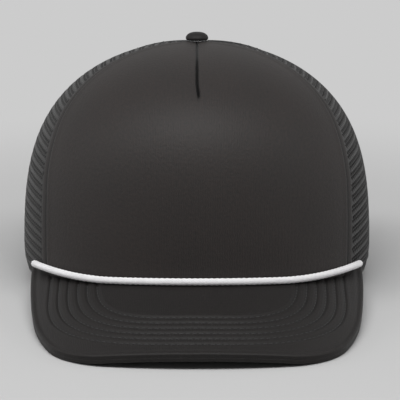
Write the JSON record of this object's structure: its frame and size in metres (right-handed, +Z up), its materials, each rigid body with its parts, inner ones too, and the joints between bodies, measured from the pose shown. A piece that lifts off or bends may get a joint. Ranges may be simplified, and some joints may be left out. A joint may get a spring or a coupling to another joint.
{
  "type": "trucker cap",
  "caption": "Trucker cap with a tall foam front, mesh sides and back, a drooping brim with a rope along its seam, a covered button and a plastic snap strap under the back arch.",
  "frame": {"origin": "under the middle of the bounding box, on the surface that the cap stands on", "axes": "+X to the wearer's left, +Y to the back of the cap, +Z up; the brim points to -Y"},
  "size_m": [0.1828, 0.253, 0.1303],
  "materials": {
    "cloth": "fine knitted polyester, laminated to foam, soft sheen",
    "brim_cloth": "fine knitted polyester, stitched in rows",
    "foam": "open-celled laminated foam",
    "tape": "woven cotton tape",
    "mesh": "knitted polyester mesh with rows of small holes",
    "sweatband": "twill band",
    "brim_board": "moulded board",
    "button_metal": "pressed sheet",
    "rope": "braided cord",
    "strap": "moulded, fine matt grain"
  },
  "bodies": {
    "cap": {"front_face": "cloth", "front_foam": "foam", "front_seam_tape": "tape", "side_seam_tape_left": "tape", "side_seam_tape_right": "tape", "back_seam_tape": "tape", "button_cover": "cloth", "button_shell": "button_metal", "button_back": "button_metal", "sweatband": "sweatband", "sweatband_padding": "foam", "brim_board": "brim_board", "brim_foam": "foam", "brim_top_cover": "brim_cloth", "brim_under_cover": "brim_cloth", "brim_rope": "rope", "opening_binding": "tape", "hole_strap_tab": "strap", "peg_strap_tab": "strap", "side_mesh_left": "mesh", "side_mesh_right": "mesh", "back_mesh_left": "mesh", "back_mesh_right": "mesh"},
    "hole_strap": {"hole_strap": "strap"},
    "peg_strap": {"peg_strap": "strap"}
  },
  "joints": [
    {"name": "hole_strap_swing", "type": "hinge", "parent": "cap", "child": "hole_strap", "pos_m": [0.0435, 0.11557, 0.01132], "axis": [0, -0.0801, -0.9968], "range_deg": [0, 70], "stiffness_Nm_per_rad": 0.01},
    {"name": "peg_strap_swing", "type": "hinge", "parent": "cap", "child": "peg_strap", "pos_m": [-0.0435, 0.11382, 0.01146], "axis": [0, -0.0801, -0.9968], "range_deg": [0, 35], "stiffness_Nm_per_rad": 0.01}
  ]
}
